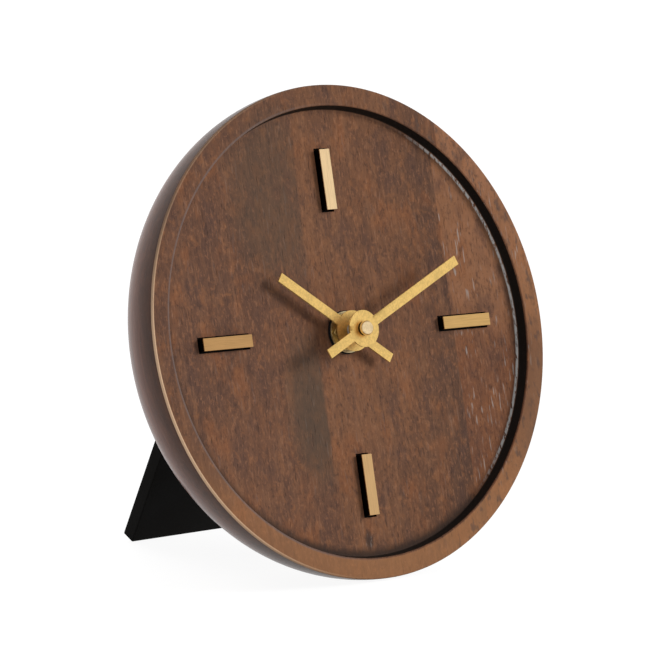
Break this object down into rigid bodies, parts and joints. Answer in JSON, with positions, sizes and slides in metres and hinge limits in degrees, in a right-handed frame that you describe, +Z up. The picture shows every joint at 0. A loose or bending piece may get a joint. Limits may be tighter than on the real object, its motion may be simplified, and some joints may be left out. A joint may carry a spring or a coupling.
{
  "type": "desk clock",
  "caption": "Round turned walnut desk clock with a sunk dial, brass hour bars and baton hands, a quartz movement behind and a folding black easel leg.",
  "frame": {"origin": "on the table, at the middle of the clock's footprint box", "axes": "+X towards three o'clock, the widest extent; +Y from the dial towards the leg; +Z up"},
  "size_m": [0.1528, 0.1046, 0.1492],
  "materials": {
    "walnut": "satin oil over open grain",
    "brushed_brass": "brushed lengthwise",
    "washer_rubber": "matt",
    "turned_brass": "turned",
    "movement_plastic": "moulded",
    "wheel_plastic": "moulded",
    "magnet_ferrite": "ground",
    "soft_iron": "stamped",
    "copper_winding": "enamelled wire",
    "board_laminate": "laminate",
    "crystal_can": "drawn can",
    "cell_jacket": "plain jacket",
    "spring_steel": "plated",
    "knob_plastic": "moulded",
    "hand_brass": "satin gilt",
    "cover_black": "matt black",
    "black_screws": "blackened",
    "bracket_steel": "black lacquer",
    "pin_steel": "blackened",
    "leg_black": "matt black paint"
  },
  "bodies": {
    "case": {"wood_case": "walnut", "marker_12": "brushed_brass", "marker_3": "brushed_brass", "marker_6": "brushed_brass", "marker_9": "brushed_brass", "rubber_washer": "washer_rubber", "brass_washer": "turned_brass", "mounting_nut": "turned_brass", "threaded_bushing": "turned_brass", "movement_front_housing": "movement_plastic", "movement_back_housing": "movement_plastic", "stator": "soft_iron", "coil": "copper_winding", "circuit_board": "board_laminate", "quartz_crystal": "crystal_can", "battery": "cell_jacket", "battery_contact_positive": "spring_steel", "battery_contact_negative": "spring_steel", "back_cover": "cover_black", "cover_screws": "black_screws", "hinge_bracket": "bracket_steel", "bracket_screws": "black_screws", "hinge_pin": "pin_steel"},
    "leg": {"easel_leg": "leg_black"},
    "minute": {"cannon_pinion": "wheel_plastic", "minute_hand": "hand_brass", "minute_cap": "hand_brass"},
    "hour": {"hour_wheel": "wheel_plastic", "hour_hand": "hand_brass"},
    "motion": {"motion_wheel": "wheel_plastic", "setting_knob": "knob_plastic"},
    "rotor_body": {"rotor": "magnet_ferrite"},
    "fifth": {"fifth_wheel": "wheel_plastic"},
    "seconds": {"seconds_wheel": "wheel_plastic"},
    "third": {"third_wheel": "wheel_plastic"},
    "centre": {"centre_wheel": "wheel_plastic"}
  },
  "joints": [
    {"name": "leg_fold", "type": "hinge", "parent": "case", "child": "leg", "pos_m": [0, 0.00538, 0.0885], "axis": [1, 0, 0], "range_deg": [-41.4, 0]},
    {"name": "minute_turn", "type": "hinge", "parent": "case", "child": "minute", "pos_m": [0, -0.03356, 0.075], "axis": [0, 0.969, -0.247], "continuous": true},
    {"name": "hour_turn", "type": "hinge", "parent": "case", "child": "hour", "pos_m": [0, -0.03356, 0.075], "axis": [0, 0.969, -0.247], "continuous": true},
    {"name": "motion_turn", "type": "hinge", "parent": "case", "child": "motion", "pos_m": [0.00864, -0.02005, 0.07132], "axis": [0, 0.969, -0.247], "continuous": true},
    {"name": "rotor_turn", "type": "hinge", "parent": "case", "child": "rotor_body", "pos_m": [0.00959, -0.01177, 0.07951], "axis": [0, 0.969, -0.247], "continuous": true},
    {"name": "fifth_turn", "type": "hinge", "parent": "case", "child": "fifth", "pos_m": [0.00418, -0.01347, 0.07691], "axis": [0, 0.969, -0.247], "continuous": true},
    {"name": "seconds_turn", "type": "hinge", "parent": "case", "child": "seconds", "pos_m": [0, -0.01612, 0.07055], "axis": [0, 0.969, -0.247], "continuous": true},
    {"name": "third_turn", "type": "hinge", "parent": "case", "child": "third", "pos_m": [-0.00545, -0.01664, 0.07661], "axis": [0, 0.969, -0.247], "continuous": true},
    {"name": "centre_turn", "type": "hinge", "parent": "case", "child": "centre", "pos_m": [0, -0.01903, 0.07129], "axis": [0, 0.969, -0.247], "continuous": true}
  ],
  "couplings": [
    {"joint": "hour_turn", "follows": "minute_turn", "ratio": 0.083333},
    {"joint": "motion_turn", "follows": "minute_turn", "ratio": -0.33333},
    {"joint": "fifth_turn", "follows": "rotor_turn", "ratio": -0.16667},
    {"joint": "seconds_turn", "follows": "rotor_turn", "ratio": 0.033333},
    {"joint": "third_turn", "follows": "rotor_turn", "ratio": -0.0044444},
    {"joint": "centre_turn", "follows": "rotor_turn", "ratio": 0.00055556}
  ]
}
